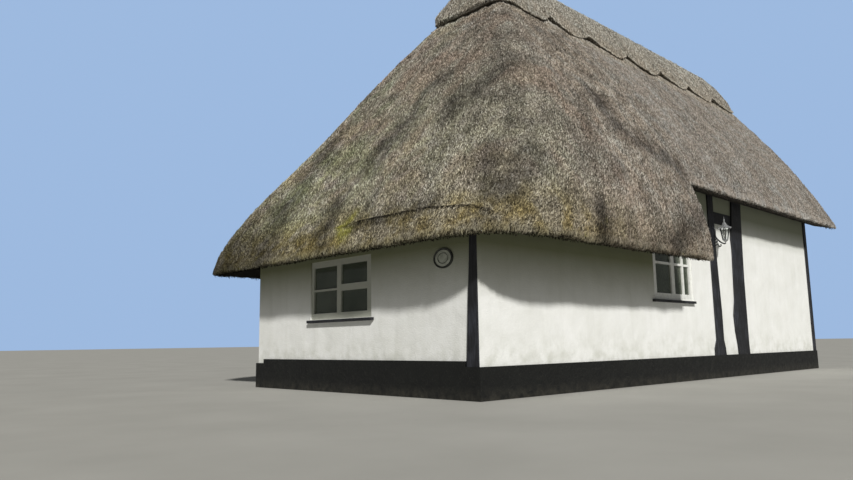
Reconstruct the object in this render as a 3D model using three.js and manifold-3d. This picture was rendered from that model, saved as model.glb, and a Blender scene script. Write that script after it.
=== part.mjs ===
// A small thatched cottage: a long low house with rendered walls on a black plinth, hipped over its
// near end and gabled at its far end, with a deep low eave near the hip and a raised eave beyond it.
// Millimetres, +Z up. The origin is on the ground, under the middle of the roof's plan.

import * as THREE from 'three';
import { mergeVertices } from 'three/addons/utils/BufferGeometryUtils.js';
import Module from 'manifold-3d';

const wasm = await Module();
wasm.setup();

// Walls and plinth
const LENGTH = 11000;
const WIDTH = 4850;
const HALF = WIDTH / 2;
const WALL = 200;
const LONG_WALL_TOP = 3240;
const END_WALL_TOP = 2100;
const PLINTH_TOP = 385;
const END_PLINTH_TOP = 450;
const PLINTH_PROUD = 30;
const FLOOR_TOP = 150;

// Roof: how far the thatch hangs out, and the three control points of its curved slope
const END_EAVE = 620;
const LOW_EAVE = 850;
const VERGE = 460;
const EAVE_Z = 1850;
const KNEE_Z = 3300;
const CAP_Z = 6320;
const KNEE_OUT = 905;
const CAP_HALF = 840;
const END_KNEE_IN = 790;
const CAP_START_IN = 3115;
const RAISED_EAVE_Z = 3090;
const STEP_AT = 4420;
const THATCH = 450;
const BUTT_LIP = 60;
const BUTT_RISE = 110;

// Corner rounding in plan at the eave and at the cap. The rear corner sways in, then out, on its way.
const FRONT_ROUND = [900, 260];
const REAR_ROUND = [470, 330];
const REAR_SWAY = 220;

// The thatch lies in soft ridges down its slopes. Each pair is their spacing and their height.
const RIDGES = [[1050, 12], [1700, 8]];
const RIDGE_WANDER = { angle: 1.5, every: 1900 };
const RIDGE_LEAN = 3;

// Ridge cap
const CROWN_FOOT = { half: 1005, z: 6220 };
const CROWN_BEND = { half: 380, z: 7260 };
const RIDGE_TOP = 7510;
const HIP_EDGE_Z = 6330;
const SCALLOP = { firstLow: 3480, pitch: 1300, depth: 300 };

// Timbers on the long front, measured along the wall from the near corner
const LEFT_POST = [6140, 6330];
const RIGHT_POST = [7150, 7450];
const HEAD_BEAM = [2730, 2945];
const POST_PROUD = 25;

const GAP = 0.3;
const NEAR_X = -(LENGTH + VERGE - END_EAVE) / 2;
const FAR_X = NEAR_X + LENGTH;
const NEAR_LIP = NEAR_X - END_EAVE;
const VERGE_X = FAR_X + VERGE;
const along = (distance) => NEAR_X + distance;

function paint(color, roughness, metalness = 0) {
  return new THREE.MeshStandardMaterial({ color, roughness, metalness });
}

const render = paint(0xe9e8e2, 0.9);
const tar = paint(0x1d2024, 0.6);
const thatch = paint(0x8a7c66, 1);
const ridgeStraw = paint(0x7c705c, 1);
const frameWhite = paint(0xf1f0ea, 0.5);
const clearGlass = paint(0x39434a, 0.1);
const oak = paint(0x6d5a44, 0.8);
const brickFloor = paint(0x8d7b6c, 0.85);
const iron = paint(0xb9bcbc, 0.45, 0.4);

const cottage = new THREE.Group();

function place(name, geometry, material) {
  const mesh = new THREE.Mesh(geometry, material);
  mesh.name = name;
  cottage.add(mesh);
  return mesh;
}

// A box between two corners, given as pairs of limits on each axis
function block(name, material, [x0, x1], [y0, y1], [z0, z1]) {
  const mesh = place(name, new THREE.BoxGeometry(x1 - x0, y1 - y0, z1 - z0), material);
  mesh.position.set((x0 + x1) / 2, (y0 + y1) / 2, (z0 + z1) / 2);
  return mesh;
}

function outline(points) {
  return new THREE.Shape(points.map(([u, v]) => new THREE.Vector2(u, v)));
}

function rectangle([u0, u1], [v0, v1]) {
  return [[u0, v0], [u1, v0], [u1, v1], [u0, v1]];
}

const AXIS_X = new THREE.Vector3(1, 0, 0);
const AXIS_Y = new THREE.Vector3(0, 1, 0);
const AXIS_Z = new THREE.Vector3(0, 0, 1);

// An outline in (x, z) made into a slab between two values of y
function slabAlongX(shape, [y0, y1]) {
  const slab = new THREE.ExtrudeGeometry(shape, { depth: y1 - y0, bevelEnabled: false });
  const turn = new THREE.Matrix4().makeBasis(AXIS_X, AXIS_Z, AXIS_Y.clone().negate());
  return slab.applyMatrix4(turn).translate(0, y1, 0);
}

// An outline in (y, z) made into a slab between two values of x
function slabAlongY(shape, [x0, x1]) {
  const slab = new THREE.ExtrudeGeometry(shape, { depth: x1 - x0, bevelEnabled: false });
  return slab.applyMatrix4(new THREE.Matrix4().makeBasis(AXIS_Y, AXIS_Z, AXIS_X)).translate(x0, 0, 0);
}

function toSolid(geometry) {
  const bare = geometry.clone();
  bare.deleteAttribute('normal');
  bare.deleteAttribute('uv');
  const merged = mergeVertices(bare, 1e-3);
  return new wasm.Manifold(new wasm.Mesh({
    numProp: 3,
    vertProperties: new Float32Array(merged.attributes.position.array),
    triVerts: new Uint32Array(merged.index.array),
  }));
}

function toGeometry(solid) {
  const mesh = solid.getMesh();
  const geometry = new THREE.BufferGeometry();
  geometry.setAttribute('position', new THREE.BufferAttribute(mesh.vertProperties, 3));
  geometry.setIndex(new THREE.BufferAttribute(mesh.triVerts, 1));
  geometry.computeVertexNormals();
  return geometry;
}

function boxSolid([x0, x1], [y0, y1], [z0, z1]) {
  const box = new THREE.BoxGeometry(x1 - x0, y1 - y0, z1 - z0);
  return toSolid(box.translate((x0 + x1) / 2, (y0 + y1) / 2, (z0 + z1) / 2));
}

function middleOf(loop) {
  const box = new THREE.Box3().setFromPoints(loop.map((point) => new THREE.Vector3(...point)));
  return box.getCenter(new THREE.Vector3()).toArray();
}

// Level loops of equal length, stacked from the lowest to the highest, joined and closed
function loft(loops) {
  const size = loops[0].length;
  const positions = loops.flat(2);
  const index = [];
  for (let row = 0; row + 1 < loops.length; row += 1) {
    for (let k = 0; k < size; k += 1) {
      const a = row * size + k;
      const b = row * size + (k + 1) % size;
      index.push(a, b, b + size, a, b + size, a + size);
    }
  }
  const top = (loops.length - 1) * size;
  const middle = loops.length * size;
  positions.push(...middleOf(loops[0]), ...middleOf(loops[loops.length - 1]));
  for (let k = 0; k < size; k += 1) {
    const next = (k + 1) % size;
    index.push(middle, next, k);
    index.push(middle + 1, top + k, top + next);
  }
  const geometry = new THREE.BufferGeometry();
  geometry.setAttribute('position', new THREE.Float32BufferAttribute(positions, 3));
  geometry.setIndex(index);
  return geometry;
}

// The roof's slope. At parameter t, from 0 at the low eave to 1 at the foot of the ridge cap, a
// quadratic curve gives the height, the half-width and how far the hip has run in from its lip.
// Past 1 each goes on straight, at the slope it has there.
function bezier(a, b, c, t) {
  if (t > 1) {
    return c + 2 * (c - b) * (t - 1);
  }
  return a * (1 - t) ** 2 + 2 * b * t * (1 - t) + c * t ** 2;
}

const heightAt = (t) => bezier(EAVE_Z, KNEE_Z, CAP_Z, t);
const halfWidthAt = (t) => bezier(HALF + LOW_EAVE, HALF + KNEE_OUT, CAP_HALF, t);
const hipRunAt = (t) => bezier(0, END_KNEE_IN, CAP_START_IN, t);

// The t at which one of those measures reaches a value
function solve(measure, value) {
  let low = -0.2;
  let high = 1.4;
  const rising = measure(high) > measure(low);
  for (let step = 0; step < 60; step += 1) {
    const middle = (low + high) / 2;
    if ((measure(middle) < value) === rising) {
      low = middle;
    } else {
      high = middle;
    }
  }
  return (low + high) / 2;
}

// The two near corners' radii in plan
function roundsAt(t) {
  const up = THREE.MathUtils.clamp(t, 0, 1);
  return {
    front: THREE.MathUtils.lerp(...FRONT_ROUND, up),
    rear: THREE.MathUtils.lerp(...REAR_ROUND, up) - REAR_SWAY * Math.sin(2.5 * Math.PI * up),
  };
}

// One level loop round the roof: square at the far end, rounded at the two near corners
const ARC_STEPS = 6;

function roofLoop(z, half, nearX, farX, rounds) {
  const loop = [[farX, -half, z], [farX, half, z]];
  for (const side of [1, -1]) {
    const radius = Math.min(side > 0 ? rounds.rear : rounds.front, 0.9 * half);
    for (let k = 0; k <= ARC_STEPS; k += 1) {
      const angle = (Math.PI / 2) * (k / ARC_STEPS) + (side > 0 ? Math.PI / 2 : Math.PI);
      loop.push([
        nearX + radius + radius * Math.cos(angle),
        side * (half - radius) + radius * Math.sin(angle),
        z,
      ]);
    }
  }
  return loop;
}

// The seven stretches of the eave, from the rear verge round the near end to the front verge
const STEP_X = along(STEP_AT);
const STRETCHES = [
  VERGE_X - STEP_X,
  STEP_AT + END_EAVE - REAR_ROUND[0],
  (Math.PI / 2) * REAR_ROUND[0],
  2 * (HALF + LOW_EAVE) - REAR_ROUND[0] - FRONT_ROUND[0],
  (Math.PI / 2) * FRONT_ROUND[0],
  STEP_AT + END_EAVE - FRONT_ROUND[0],
  VERGE_X - STEP_X,
];
const STATION_SPACING = 300;

// Places round the eave: which stretch, how far through it, and the distance from the rear verge
function makeStations() {
  const stations = [];
  let start = 0;
  STRETCHES.forEach((length, stretch) => {
    const steps = Math.max(ARC_STEPS, Math.round(length / STATION_SPACING));
    const last = stretch === STRETCHES.length - 1 ? steps : steps - 1;
    for (let k = 0; k <= last; k += 1) {
      stations.push({ stretch, share: k / steps, distance: start + length * (k / steps) });
    }
    start += length;
  });
  return stations;
}

const stations = makeStations();

// How far out the combed straw stands: two waves round the eave, the first one wandering and the
// second leaning over as it climbs. Their crests touch the slope, and they die away under the cap.
function ridgesAt(distance, t) {
  const wander = RIDGE_WANDER.angle * Math.sin(distance / RIDGE_WANDER.every);
  const phases = RIDGES.map(([spacing]) => (2 * Math.PI * distance) / spacing);
  const [first, second] = RIDGES.map(([, height]) => height);
  const waves = first * Math.sin(phases[0] + wander) + second * Math.sin(phases[1] + RIDGE_LEAN * t);
  return THREE.MathUtils.clamp((1.15 - t) / 0.1, 0, 1) * waves - first - second;
}

// A level loop round the thatch's outside, with its ridges, going on straight beyond the verge
function combedLoop(t, offset, beyond) {
  const half = halfWidthAt(t) + offset;
  const nearX = NEAR_LIP + hipRunAt(t) - offset;
  const { front, rear } = roundsAt(t);
  const loop = stations.map(({ stretch, share, distance }) => {
    const out = ridgesAt(distance, t);
    const side = stretch < 3 ? 1 : -1;
    const radius = Math.min(side > 0 ? rear : front, 0.9 * half);
    const turn = (Math.PI / 2) * (1 + share + (stretch === 4 ? 1 : 0));
    const x = [
      THREE.MathUtils.lerp(VERGE_X, STEP_X, share),
      THREE.MathUtils.lerp(STEP_X, nearX + radius, share),
      nearX + radius + (radius + out) * Math.cos(turn),
      nearX - out,
      nearX + radius + (radius + out) * Math.cos(turn),
      THREE.MathUtils.lerp(nearX + radius, STEP_X, share),
      THREE.MathUtils.lerp(STEP_X, VERGE_X, share),
    ][stretch];
    if (stretch === 3) {
      const rearStart = half - Math.min(rear, 0.9 * half);
      return [x, THREE.MathUtils.lerp(rearStart, radius - half, share), heightAt(t)];
    }
    const onCorner = stretch === 2 || stretch === 4;
    const y = onCorner ? side * (half - radius) + (radius + out) * Math.sin(turn) : side * (half + out);
    return [x, y, heightAt(t)];
  });
  if (beyond > 0) {
    const pastVerge = ([x, y, z]) => [x + beyond, y, z];
    return [pastVerge(loop[0]), ...loop, pastVerge(loop[loop.length - 1])];
  }
  return loop;
}

// A roof-shaped solid whose surface stands a level distance outside the slope, or inside it
const SLOPE_STEPS = [0, 0.08, 0.16, 0.24, 0.32, 0.4, 0.5, 0.6, 0.7, 0.8, 0.9, 1];
const NARROWEST = 40;

function stepsBetween(from, to) {
  return [from, ...SLOPE_STEPS.filter((t) => t > from + 0.01 && t < to - 0.01), to];
}

function combedRoof(offset, beyond) {
  return toSolid(loft(stepsBetween(0, outerTop).map((t) => combedLoop(t, offset, beyond))));
}

const SHARP = 0.02;

function hollowRoof(from, to, farX) {
  const loops = stepsBetween(from, to).map((t) => {
    const { front, rear } = roundsAt(t);
    const rounds = { front: SHARP * front, rear: SHARP * rear };
    return roofLoop(heightAt(t), halfWidthAt(t) - THATCH, NEAR_LIP + hipRunAt(t) + THATCH, farX, rounds);
  });
  return toSolid(loft(loops));
}

// The hollow under an eave: its cut straw ends slope up to the inside, behind a narrow lip
function buttSpace(eaveZ) {
  const loops = [[-100, BUTT_LIP], [0, BUTT_LIP], [BUTT_RISE, THATCH + 1]].map(([rise, inset]) => {
    const t = solve(heightAt, eaveZ + Math.max(0, rise));
    const { front, rear } = roundsAt(t);
    const rounds = { front: Math.max(20, front - inset), rear: Math.max(20, rear - inset) };
    const nearX = NEAR_LIP + hipRunAt(t) + inset;
    return roofLoop(eaveZ + rise, halfWidthAt(t) - inset, nearX, VERGE_X + 100, rounds);
  });
  return toSolid(loft(loops));
}

const INNER_FOOT = -0.02;
const outerTop = solve(halfWidthAt, NARROWEST);
const innerTop = solve(halfWidthAt, NARROWEST + THATCH);

// The inside of the thatch is faceted. Where one measure has a value there, this gives another.
const innerSteps = [INNER_FOOT, ...SLOPE_STEPS.filter((t) => t > 0), innerTop];

function insideRoof(known, value, wanted) {
  const next = innerSteps.findIndex((t) => known(t) >= value);
  const [a, b] = [innerSteps[next - 1], innerSteps[next]];
  const share = (value - known(a)) / (known(b) - known(a));
  return THREE.MathUtils.lerp(wanted(a), wanted(b), share);
}

const wholeRoof = combedRoof(0, 0);
const roofSpace = hollowRoof(INNER_FOOT, innerTop, VERGE_X + 100);

// The thatch, split at the hips, at the ridge and at the step between the two eaves
function makeThatch() {
  const reach = 9000;
  const apexX = NEAR_LIP + hipRunAt(solve(halfWidthAt, 0));
  const hipRise = (HALF + LOW_EAVE) / (apexX - NEAR_LIP);
  const wedge = (shift) => toSolid(new THREE.ExtrudeGeometry(outline([
    [apexX + shift, 0],
    [apexX + shift - reach, hipRise * reach],
    [apexX + shift - reach, -hipRise * reach],
  ]), { depth: reach, bevelEnabled: false }));
  const everywhere = [-reach, reach];
  const underRaisedEave = boxSolid([STEP_X - GAP / 2, reach], everywhere, [-reach, RAISED_EAVE_Z]);
  const beyondStep = boxSolid([STEP_X - GAP / 2, reach], everywhere, everywhere);
  const shell = wholeRoof.subtract(roofSpace).subtract(underRaisedEave)
    .subtract(buttSpace(EAVE_Z)).subtract(buttSpace(RAISED_EAVE_Z).intersect(beyondStep));
  place('near_hip_thatch', toGeometry(shell.intersect(wedge(-GAP))), thatch);
  const slopes = shell.subtract(wedge(0));
  for (const [side, low, high] of [['front', -reach, -GAP / 2], ['rear', GAP / 2, reach]]) {
    const half = slopes.intersect(boxSolid(everywhere, [low, high], everywhere));
    const nearPart = half.intersect(boxSolid([-reach, STEP_X - GAP], everywhere, everywhere));
    const farPart = half.intersect(boxSolid([STEP_X, reach], everywhere, everywhere));
    place(`${side}_thatch_low`, toGeometry(nearPart), thatch);
    place(`${side}_thatch_raised`, toGeometry(farPart), thatch);
  }
}

// Everything under the cap's lower edge: level round the hip, then scalloped along both slopes
const SCALLOP_STEPS = 8;

function underCapEdge() {
  const low = along(SCALLOP.firstLow);
  const points = [[NEAR_LIP, HIP_EDGE_Z]];
  for (let k = -SCALLOP_STEPS / 2; low + SCALLOP.pitch * (k / SCALLOP_STEPS) < VERGE_X; k += 1) {
    const lift = SCALLOP.depth * (1 - Math.abs(Math.cos(Math.PI * (k / SCALLOP_STEPS))));
    const z = k < 0 ? Math.min(HIP_EDGE_Z, CROWN_FOOT.z + lift) : CROWN_FOOT.z + lift;
    points.push([low + SCALLOP.pitch * (k / SCALLOP_STEPS), z]);
  }
  const last = points[points.length - 1];
  points.push([VERGE_X + 100, last[1]], [VERGE_X + 100, EAVE_Z], [NEAR_LIP, EAVE_Z]);
  return toSolid(slabAlongX(outline(points), [-2 * HALF, 2 * HALF]));
}

// The ridge cap: a thick straw saddle over the top of the slopes, rounded along its crest
function makeRidgeCap() {
  const loops = [0, 0.12, 0.25, 0.5, 0.7, 0.86, 1].map((turn) => {
    const half = bezier(CROWN_FOOT.half, CROWN_BEND.half, NARROWEST, turn);
    const z = bezier(CROWN_FOOT.z, CROWN_BEND.z, RIDGE_TOP, turn);
    const t = solve(heightAt, z);
    const thick = half - halfWidthAt(t);
    const rounds = { front: 0.3 * half, rear: 0.12 * half };
    return roofLoop(z, half, NEAR_LIP + hipRunAt(t) - thick, VERGE_X, rounds);
  });
  const bed = combedRoof(GAP, 100);
  const cap = toSolid(loft(loops)).subtract(bed).subtract(underCapEdge());
  place('ridge_cap', toGeometry(cap), ridgeStraw);
}

// Two-light window frames with glazing bars in front of the glass, a deeper rim round it, and a black
// drip sill below
const FRAME_BACK = 20;
const BAR_DEPTH = 25;
const RIM = 50;
const RIM_DEPTH = 60;
const GLASS = 6;

const endWindow = {
  name: 'near_end_window', face: 'near', at: [1950, 3385], z: [1030, 1890], sill: [1895, 3410, 982, 1022],
  panes: [
    [2060, 2656, 1120, 1426], [2060, 2656, 1520, 1805],
    [2752, 3323, 1120, 1444], [2752, 3323, 1472, 1800],
  ],
};
const frontWindow = {
  name: 'front_window', face: 'front', at: [4090, 5390], z: [1305, 2450], sill: [4010, 5365, 1252, 1290],
  panes: [
    [4205, 4702, 1400, 1868], [4205, 4702, 1905, 2385],
    [4805, 5076, 1400, 1868], [4805, 5076, 1905, 2385],
    [5124, 5311, 1400, 1868], [5124, 5311, 1905, 2385],
  ],
};
const rearWindow = { ...frontWindow, name: 'rear_window', face: 'rear' };
const farWindow = { ...endWindow, name: 'far_end_window', face: 'far' };

function insetRectangle([u0, u1], [v0, v1], inset) {
  return rectangle([u0 + inset, u1 - inset], [v0 + inset, v1 - inset]);
}

// A pattern on a wall's face, in distance along the wall and height, turned into a slab whose outer
// side lies a given depth behind the wall's face
function slabOnFace(face, points, depth, thickness) {
  const [near, far] = [depth, depth + thickness];
  if (face === 'front' || face === 'rear') {
    const shape = outline(points.map(([u, v]) => [along(u), v]));
    return slabAlongX(shape, face === 'front' ? [near - HALF, far - HALF] : [HALF - far, HALF - near]);
  }
  const shape = outline(points.map(([u, v]) => [u - HALF, v]));
  return slabAlongY(shape, face === 'near' ? [NEAR_X + near, NEAR_X + far] : [FAR_X - far, FAR_X - near]);
}

function onFace(face, points, holes, depth, thickness) {
  const slab = slabOnFace(face, points, depth, thickness);
  if (holes.length === 0) {
    return slab;
  }
  const cutters = holes.map((hole) => toSolid(slabOnFace(face, hole, depth - 1, thickness + 2)));
  return toGeometry(cutters.reduce((solid, cutter) => solid.subtract(cutter), toSolid(slab)));
}

const SILL_PROUD = 55;

function makeWindow({ name, face, at, z, sill, panes }) {
  const ring = rectangle(at, z);
  const holes = panes.map(([u0, u1, v0, v1]) => rectangle([u0, u1], [v0, v1]));
  const bars = toSolid(onFace(face, ring, holes, FRAME_BACK, BAR_DEPTH));
  const rim = toSolid(onFace(face, ring, [insetRectangle(at, z, RIM)], FRAME_BACK + BAR_DEPTH - 1, RIM_DEPTH - BAR_DEPTH + 1));
  place(`${name}_frame`, toGeometry(bars.add(rim)), frameWhite);
  const sheet = insetRectangle(at, z, RIM + GAP);
  place(`${name}_glass`, onFace(face, sheet, [], FRAME_BACK + BAR_DEPTH + GAP, GLASS), clearGlass);
  const board = rectangle([sill[0], sill[1]], [sill[2], sill[3]]);
  place(`${name}_sill`, onFace(face, board, [], -SILL_PROUD, SILL_PROUD), tar);
}

// Rear doorway, level with the two posts of the front
const DOOR_AT = [6330, 7230];
const DOOR_TOP = 2130;
const DOOR_FRAME = 80;
const DOOR_LEAF = 45;
const FRAME_IN = 40;

function makeDoor() {
  const [left, right] = DOOR_AT;
  const arch = [
    [left, FLOOR_TOP], [left + DOOR_FRAME, FLOOR_TOP], [left + DOOR_FRAME, DOOR_TOP - DOOR_FRAME],
    [right - DOOR_FRAME, DOOR_TOP - DOOR_FRAME], [right - DOOR_FRAME, FLOOR_TOP], [right, FLOOR_TOP],
    [right, DOOR_TOP], [left, DOOR_TOP],
  ];
  place('rear_door_frame', onFace('rear', arch, [], FRAME_IN, 110), tar);
  const leaf = rectangle([left + DOOR_FRAME, right - DOOR_FRAME], [FLOOR_TOP, DOOR_TOP - DOOR_FRAME]);
  place('rear_door', onFace('rear', leaf, [], FRAME_IN + 30, DOOR_LEAF), tar);
  block('door_threshold', brickFloor, DOOR_AT.map(along), [HALF - WALL, HALF + PLINTH_PROUD], [0, FLOOR_TOP]);
}

// The inner roof surface over a distance in from the near end wall's outer face
function roofSpaceHeight(inward) {
  return insideRoof(hipRunAt, inward + END_EAVE - THATCH, heightAt);
}

const EASE = 15;
const BEND_AT = insideRoof(heightAt, LONG_WALL_TOP, hipRunAt) - END_EAVE + THATCH;

// A long wall's outline: level on top, cut down under the hip at its near end
function longWall(from, to, bottom = PLINTH_TOP) {
  const points = [[from, bottom], [to, bottom], [to, LONG_WALL_TOP]];
  if (from < BEND_AT) {
    points.push([BEND_AT + EASE, LONG_WALL_TOP], [from, roofSpaceHeight(from) - EASE]);
  } else {
    points.push([from, LONG_WALL_TOP]);
  }
  return points;
}

function makeWalls() {
  const windowHole = ({ at, z }) => rectangle(at, z);
  const nearFront = longWall(WALL, LEFT_POST[0]);
  place('front_wall_near', onFace('front', nearFront, [windowHole(frontWindow)], 0, WALL), render);
  place('front_wall_far', onFace('front', longWall(RIGHT_POST[1], LENGTH - WALL), [], 0, WALL), render);
  const bay = [LEFT_POST[1], RIGHT_POST[0]];
  const panelIn = 10;
  const lower = rectangle(bay, [PLINTH_TOP, HEAD_BEAM[0]]);
  const upper = rectangle(bay, [HEAD_BEAM[1], LONG_WALL_TOP]);
  place('bay_panel_lower', onFace('front', lower, [], panelIn, WALL - panelIn), render);
  place('bay_panel_upper', onFace('front', upper, [], panelIn, WALL - panelIn), render);

  const rear = longWall(WALL, LENGTH - WALL);
  rear.splice(1, 0, [DOOR_AT[0], PLINTH_TOP], [DOOR_AT[0], DOOR_TOP], [DOOR_AT[1], DOOR_TOP], [DOOR_AT[1], PLINTH_TOP]);
  place('rear_wall', onFace('rear', rear, [windowHole(rearWindow)], 0, WALL), render);

  const nearEnd = [
    [0, PLINTH_TOP], [WALL, PLINTH_TOP], [WALL, END_PLINTH_TOP],
    [WIDTH - WALL, END_PLINTH_TOP], [WIDTH - WALL, PLINTH_TOP], [WIDTH, PLINTH_TOP],
    [WIDTH, END_WALL_TOP], [0, END_WALL_TOP],
  ];
  place('near_end_wall', onFace('near', nearEnd, [windowHole(endWindow)], 0, WALL), render);

  const gable = [[0, PLINTH_TOP], [WIDTH, PLINTH_TOP], [WIDTH, LONG_WALL_TOP]];
  const rake = innerSteps.filter((t) => heightAt(t) > LONG_WALL_TOP + EASE)
    .map((t) => [Math.min(HALF, halfWidthAt(t) - THATCH - GAP), heightAt(t)]);
  rake.forEach(([half, z]) => gable.push([HALF + half, z]));
  rake.reverse().forEach(([half, z]) => gable.push([HALF - half, z]));
  gable.push([0, LONG_WALL_TOP]);
  place('far_gable_wall', onFace('far', gable, [windowHole(farWindow)], 0, WALL), render);
}

function makePlinth() {
  const outerX = [NEAR_X - PLINTH_PROUD, FAR_X + PLINTH_PROUD];
  const innerX = [NEAR_X + WALL, FAR_X - WALL];
  const innerY = HALF - WALL;
  const outerY = HALF + PLINTH_PROUD;
  block('front_plinth', tar, outerX, [-outerY, -innerY], [0, PLINTH_TOP]);
  block('rear_plinth_near', tar, [outerX[0], along(DOOR_AT[0])], [innerY, outerY], [0, PLINTH_TOP]);
  block('rear_plinth_far', tar, [along(DOOR_AT[1]), outerX[1]], [innerY, outerY], [0, PLINTH_TOP]);
  block('near_end_plinth', tar, [outerX[0], innerX[0]], [-innerY, innerY], [0, END_PLINTH_TOP]);
  block('far_end_plinth', tar, [innerX[1], outerX[1]], [-innerY, innerY], [0, PLINTH_TOP]);
  block('ground_floor', brickFloor, innerX, [-innerY, innerY], [0, FLOOR_TOP]);
}

// The crooked faces of the two posts and of the near corner post, lapped over the walls beside them
const LEFT_FACE = [
  [6030, PLINTH_TOP], [6455, PLINTH_TOP], [6440, 500], [6390, 650], [6390, 1150],
  [6330, 2250], [6335, LONG_WALL_TOP], [6125, LONG_WALL_TOP], [6105, 2300], [6115, 650], [6030, 500],
];
const RIGHT_FACE = [
  [7010, PLINTH_TOP], [7465, PLINTH_TOP], [7440, 700], [7430, 1300], [7475, 2300],
  [7505, 2780], [7535, LONG_WALL_TOP], [7140, LONG_WALL_TOP], [7075, 2800], [7015, 2520],
  [7040, 2300], [6985, 1380], [6905, 1090], [6930, 800], [6990, 560],
];
const CORNER_POST_TOP = 2085;
const CORNER_FACE = [
  [0, PLINTH_TOP], [180, PLINTH_TOP], [140, 1150], [108, 1650], [90, CORNER_POST_TOP], [0, CORNER_POST_TOP],
];
const FAR_POST = 130;

function makePost(name, core, face) {
  const timber = boxSolid(core.map(along), [-HALF - POST_PROUD, -HALF + WALL], [PLINTH_TOP, LONG_WALL_TOP]);
  const lap = toSolid(onFace('front', face, [], -POST_PROUD, POST_PROUD - GAP));
  place(name, toGeometry(timber.add(lap)), tar);
}

function makeTimbers() {
  makePost('left_post', LEFT_POST, LEFT_FACE);
  makePost('right_post', RIGHT_POST, RIGHT_FACE);
  const beamX = [along(LEFT_POST[1]), along(RIGHT_POST[0])];
  block('head_beam', tar, beamX, [-HALF, -HALF + WALL], HEAD_BEAM);
  place('near_corner_post', onFace('near', CORNER_FACE, [], -POST_PROUD, POST_PROUD), tar);
  const farPost = rectangle([LENGTH - FAR_POST, LENGTH], [PLINTH_TOP, LONG_WALL_TOP]);
  place('far_corner_post', onFace('front', farPost, [], -POST_PROUD, POST_PROUD), tar);

  const plate = 100;
  const plateEdge = insideRoof(heightAt, LONG_WALL_TOP + plate, halfWidthAt) - THATCH - GAP;
  const plateX = [along(BEND_AT + 100), FAR_X - WALL];
  const plateZ = [LONG_WALL_TOP, LONG_WALL_TOP + plate];
  block('front_wall_plate', oak, plateX, [-plateEdge, -HALF + WALL], plateZ);
  block('rear_wall_plate', oak, plateX, [HALF - WALL, plateEdge], plateZ);
  const endPlateRun = insideRoof(heightAt, END_WALL_TOP + plate, hipRunAt) + THATCH + GAP;
  const endPlateX = [NEAR_LIP + endPlateRun, NEAR_X + WALL];
  block('near_end_wall_plate', oak, endPlateX, [-HALF + WALL, HALF - WALL], [END_WALL_TOP, END_WALL_TOP + plate]);
}

// A wall lantern on a scrolled arm, fixed to the left post
const LANTERN = { out: 245, low: 2330, high: 2810, roofHalf: 110, bodyTop: 88, bodyFoot: 55 };

function makeLantern() {
  const x = along((LEFT_POST[0] + LEFT_POST[1]) / 2);
  const face = -HALF - POST_PROUD;
  const y = -HALF - LANTERN.out;
  const foot = LANTERN.low;
  const arm = new THREE.CatmullRomCurve3([
    new THREE.Vector3(x, face + 5, foot - 30),
    new THREE.Vector3(x, face - 50, foot - 75),
    new THREE.Vector3(x, face - 130, foot - 105),
    new THREE.Vector3(x, y + 22, foot - 90),
    new THREE.Vector3(x, y, foot - 45),
    new THREE.Vector3(x, y, foot + 10),
  ]);
  const section = new THREE.Shape().absarc(0, 0, 9, 0, 2 * Math.PI);
  const tube = new THREE.ExtrudeGeometry(section, {
    extrudePath: arm,
    steps: 20,
    curveSegments: 8,
    bevelEnabled: false,
  });
  const reach = boxSolid([x - 50, x + 50], [y - 60, face - 1], [foot - 260, foot - GAP]);
  const plate = boxSolid([x - 35, x + 35], [face - 14, face], [foot - 120, foot + 110]);
  place('lantern_bracket', toGeometry(plate.add(toSolid(tube).intersect(reach))), iron);
  const { roofHalf, bodyTop, bodyFoot, low, high } = LANTERN;
  const profile = [
    [0, low], [12, low], [16, low + 22], [bodyFoot - 14, low + 40], [bodyFoot, low + 58],
    [bodyTop, high - 190], [roofHalf, high - 180], [58, high - 118], [22, high - 92],
    [14, high - 58], [20, high - 44], [6, high - 24], [0, high],
  ];
  const body = new THREE.LatheGeometry(profile.map(([r, z]) => new THREE.Vector2(r, z)), 6);
  body.rotateX(Math.PI / 2).rotateZ(Math.PI / 6);
  const mesh = place('lantern', body, iron);
  mesh.position.set(x, y, 0);
}

// A bare oval wall plate
const PLAQUE = { at: 550, z: 1692, halfWidth: 167, halfHeight: 127, thick: 18 };

function makePlaque() {
  const disc = new THREE.CylinderGeometry(PLAQUE.halfHeight, PLAQUE.halfHeight, PLAQUE.thick, 32);
  disc.rotateZ(Math.PI / 2).scale(1, PLAQUE.halfWidth / PLAQUE.halfHeight, 1);
  const mesh = place('wall_plaque', disc, frameWhite);
  mesh.position.set(NEAR_X - PLAQUE.thick / 2 - GAP, -HALF + PLAQUE.at, PLAQUE.z);
}

makePlinth();
makeWalls();
makeTimbers();
for (const opening of [endWindow, frontWindow, rearWindow, farWindow]) {
  makeWindow(opening);
}
makeDoor();
makeThatch();
makeRidgeCap();
makeLantern();
makePlaque();

export default cottage;
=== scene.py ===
"""A thatched cottage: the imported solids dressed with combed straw, lime wash, tarred timber and glass."""

import math

import bpy
import numpy as np
from mathutils import Matrix, Vector


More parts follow.
